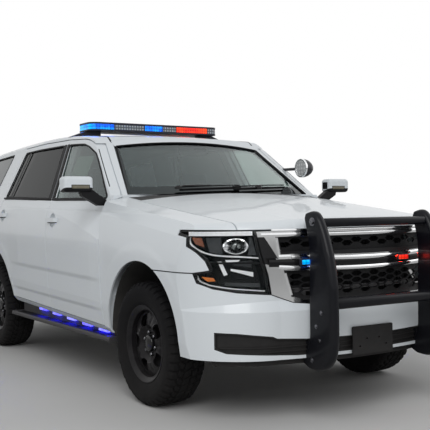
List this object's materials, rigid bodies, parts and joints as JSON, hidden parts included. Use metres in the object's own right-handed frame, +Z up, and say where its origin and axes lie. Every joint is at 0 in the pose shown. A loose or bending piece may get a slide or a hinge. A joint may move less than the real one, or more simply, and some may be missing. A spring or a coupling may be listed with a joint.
{
  "type": "police suv",
  "caption": "Police sport utility vehicle with roof light bar, push bumper, pillar spotlight and lit running boards; doors, hood, tailgate, steering and wheels move.",
  "frame": {"origin": "on the ground under the middle of the vehicle's length and width", "axes": "+Z up; -Y towards the nose, +Y towards the tail; +X is the driver's (left) side"},
  "size_m": [2.504, 5.375, 1.9569],
  "materials": {
    "body_paint": "gloss white paint",
    "underbody": "matt black coating",
    "black_trim": "grained black plastic",
    "bright_trim": "bright plated trim",
    "lamp_housing": "silvered plastic",
    "clear_lens": "clear lens",
    "radiator_metal": "dull core",
    "window_glass": "lightly tinted glass",
    "dark_glass": "dark tinted glass",
    "red_lens": "red lens",
    "bar_coating": "satin black powder coat",
    "bar_housing": "black housing",
    "bar_lens": "coloured lens",
    "spot_housing": "black lamp shell",
    "board_coating": "ribbed black plastic",
    "step_lens": "lit blue lens",
    "wiper_rubber": "matt black",
    "chassis_paint": "black wax coating",
    "engine_metal": "cast surface",
    "exhaust_steel": "weathered steel",
    "tank_plastic": "black moulding",
    "tyre_rubber": "worn black rubber",
    "liner_plastic": "black felted plastic",
    "cabin_plastic": "dark grained plastic",
    "seat_cloth": "dark grey cloth",
    "mirror_shell": "white cap",
    "axle_iron": "forged surface",
    "wheel_steel": "satin black paint"
  },
  "bodies": {
    "body": {"body_shell": "body_paint", "floor_pan": "underbody", "front_fenders": "body_paint", "front_bumper": "body_paint", "bumper_trim": "black_trim", "front_carrier": "underbody", "grille": "bright_trim", "grille_mesh": "black_trim", "headlamps": "lamp_housing", "headlamp_lenses": "clear_lens", "radiator": "radiator_metal", "cowl_panel": "black_trim", "fixed_glass": "window_glass", "tail_lamps": "red_lens", "rear_bumper": "body_paint", "push_bumper": "bar_coating", "light_bar": "bar_housing", "light_bar_lenses": "bar_lens", "spotlight": "spot_housing", "running_boards": "board_coating", "step_lights": "step_lens", "wipers": "wiper_rubber", "cabin_mirror": "black_trim", "chassis_frame": "chassis_paint", "engine_block": "engine_metal", "exhaust": "exhaust_steel", "fuel_tank": "tank_plastic", "front_suspension": "chassis_paint", "rear_axle": "chassis_paint", "spare_wheel": "tyre_rubber", "wheel_liners": "liner_plastic", "dashboard": "cabin_plastic", "steering_wheel": "cabin_plastic", "front_seats": "seat_cloth", "rear_seat": "seat_cloth"},
    "hood": {"hood": "body_paint"},
    "tailgate": {"tailgate": "body_paint", "tailgate_glass": "dark_glass"},
    "door_front_right": {"door_front_right": "body_paint", "glass_front_right": "window_glass", "mirror_right": "mirror_shell"},
    "door_front_left": {"door_front_left": "body_paint", "glass_front_left": "window_glass", "mirror_left": "mirror_shell"},
    "door_rear_right": {"door_rear_right": "body_paint", "glass_rear_right": "dark_glass"},
    "door_rear_left": {"door_rear_left": "body_paint", "glass_rear_left": "dark_glass"},
    "knuckle_right": {"knuckle_right": "axle_iron"},
    "knuckle_left": {"knuckle_left": "axle_iron"},
    "wheel_front_right": {"rim_front_right": "wheel_steel", "tyre_front_right": "tyre_rubber"},
    "wheel_front_left": {"rim_front_left": "wheel_steel", "tyre_front_left": "tyre_rubber"},
    "wheel_rear_right": {"rim_rear_right": "wheel_steel", "tyre_rear_right": "tyre_rubber"},
    "wheel_rear_left": {"rim_rear_left": "wheel_steel", "tyre_rear_left": "tyre_rubber"}
  },
  "joints": [
    {"name": "hood_hinge", "type": "hinge", "parent": "body", "child": "hood", "pos_m": [0, -1.0965, 1.345], "axis": [-1, 0, 0], "range_deg": [0, 50]},
    {"name": "tailgate_hinge", "type": "hinge", "parent": "body", "child": "tailgate", "pos_m": [0, 2.3955, 1.791], "axis": [1, 0, 0], "range_deg": [0, 85]},
    {"name": "door_front_right_hinge", "type": "hinge", "parent": "body", "child": "door_front_right", "pos_m": [-1.0195, -0.9215, 1], "axis": [0, 0, 1], "range_deg": [0, 66]},
    {"name": "door_rear_right_hinge", "type": "hinge", "parent": "body", "child": "door_rear_right", "pos_m": [-1.0195, 0.071, 1], "axis": [0, 0, 1], "range_deg": [0, 66]},
    {"name": "door_front_left_hinge", "type": "hinge", "parent": "body", "child": "door_front_left", "pos_m": [1.0195, -0.9215, 1], "axis": [0, 0, -1], "range_deg": [0, 66]},
    {"name": "door_rear_left_hinge", "type": "hinge", "parent": "body", "child": "door_rear_left", "pos_m": [1.0195, 0.071, 1], "axis": [0, 0, -1], "range_deg": [0, 66]},
    {"name": "steer_right", "type": "hinge", "parent": "body", "child": "knuckle_right", "pos_m": [-0.812, -1.4945, 0.388], "axis": [0, 0, 1], "range_deg": [-32, 32]},
    {"name": "steer_left", "type": "hinge", "parent": "body", "child": "knuckle_left", "pos_m": [0.812, -1.4945, 0.388], "axis": [0, 0, 1], "range_deg": [-32, 32]},
    {"name": "spin_front_right", "type": "hinge", "parent": "knuckle_right", "child": "wheel_front_right", "pos_m": [-0.872, -1.4945, 0.388], "axis": [1, 0, 0], "continuous": true},
    {"name": "spin_rear_right", "type": "hinge", "parent": "body", "child": "wheel_rear_right", "pos_m": [-0.872, 1.4515, 0.388], "axis": [1, 0, 0], "continuous": true},
    {"name": "spin_front_left", "type": "hinge", "parent": "knuckle_left", "child": "wheel_front_left", "pos_m": [0.872, -1.4945, 0.388], "axis": [1, 0, 0], "continuous": true},
    {"name": "spin_rear_left", "type": "hinge", "parent": "body", "child": "wheel_rear_left", "pos_m": [0.872, 1.4515, 0.388], "axis": [1, 0, 0], "continuous": true}
  ],
  "couplings": [
    {"joint": "steer_left", "follows": "steer_right", "ratio": 1}
  ]
}
